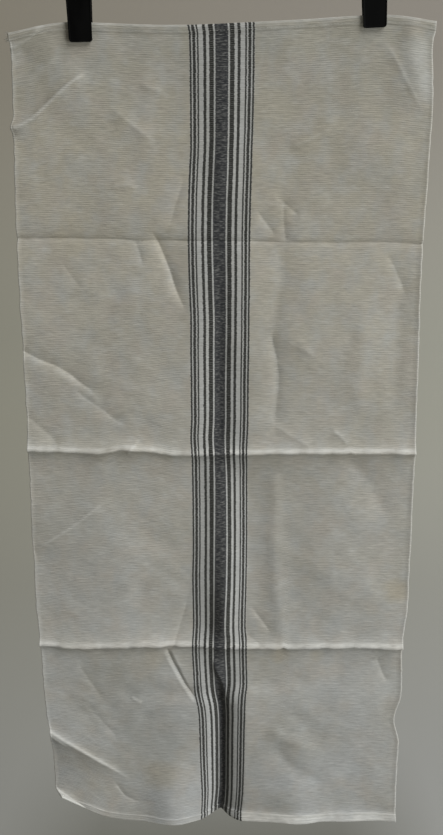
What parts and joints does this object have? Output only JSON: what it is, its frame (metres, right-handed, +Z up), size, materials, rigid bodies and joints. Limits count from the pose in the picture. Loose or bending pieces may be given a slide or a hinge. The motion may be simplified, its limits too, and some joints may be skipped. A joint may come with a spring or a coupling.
{
  "type": "towel with hanger clips",
  "caption": "Coarse hand-woven towel with a band of dark stripes down its middle, creased from being folded, hanging by its top hem from plain plastic hanger clips.",
  "frame": {"origin": "on the towel's middle line, in the plane in which the clips hold it, level with the clips' top ends on average", "axes": "+Z up along the hanging cloth, +X to the right across its face, which looks along -Y"},
  "size_m": [0.514, 0.0384, 1.1722],
  "materials": {
    "cloth": "coarse woven, off-white with charcoal stripes",
    "clip": "black, satin"
  },
  "bodies": {
    "root": {"towel": "cloth", "clip_left_front_jaw": "clip", "clip_left_back_jaw": "clip", "clip_left_pin": "clip", "clip_right_front_jaw": "clip", "clip_right_back_jaw": "clip", "clip_right_pin": "clip"}
  },
  "joints": []
}
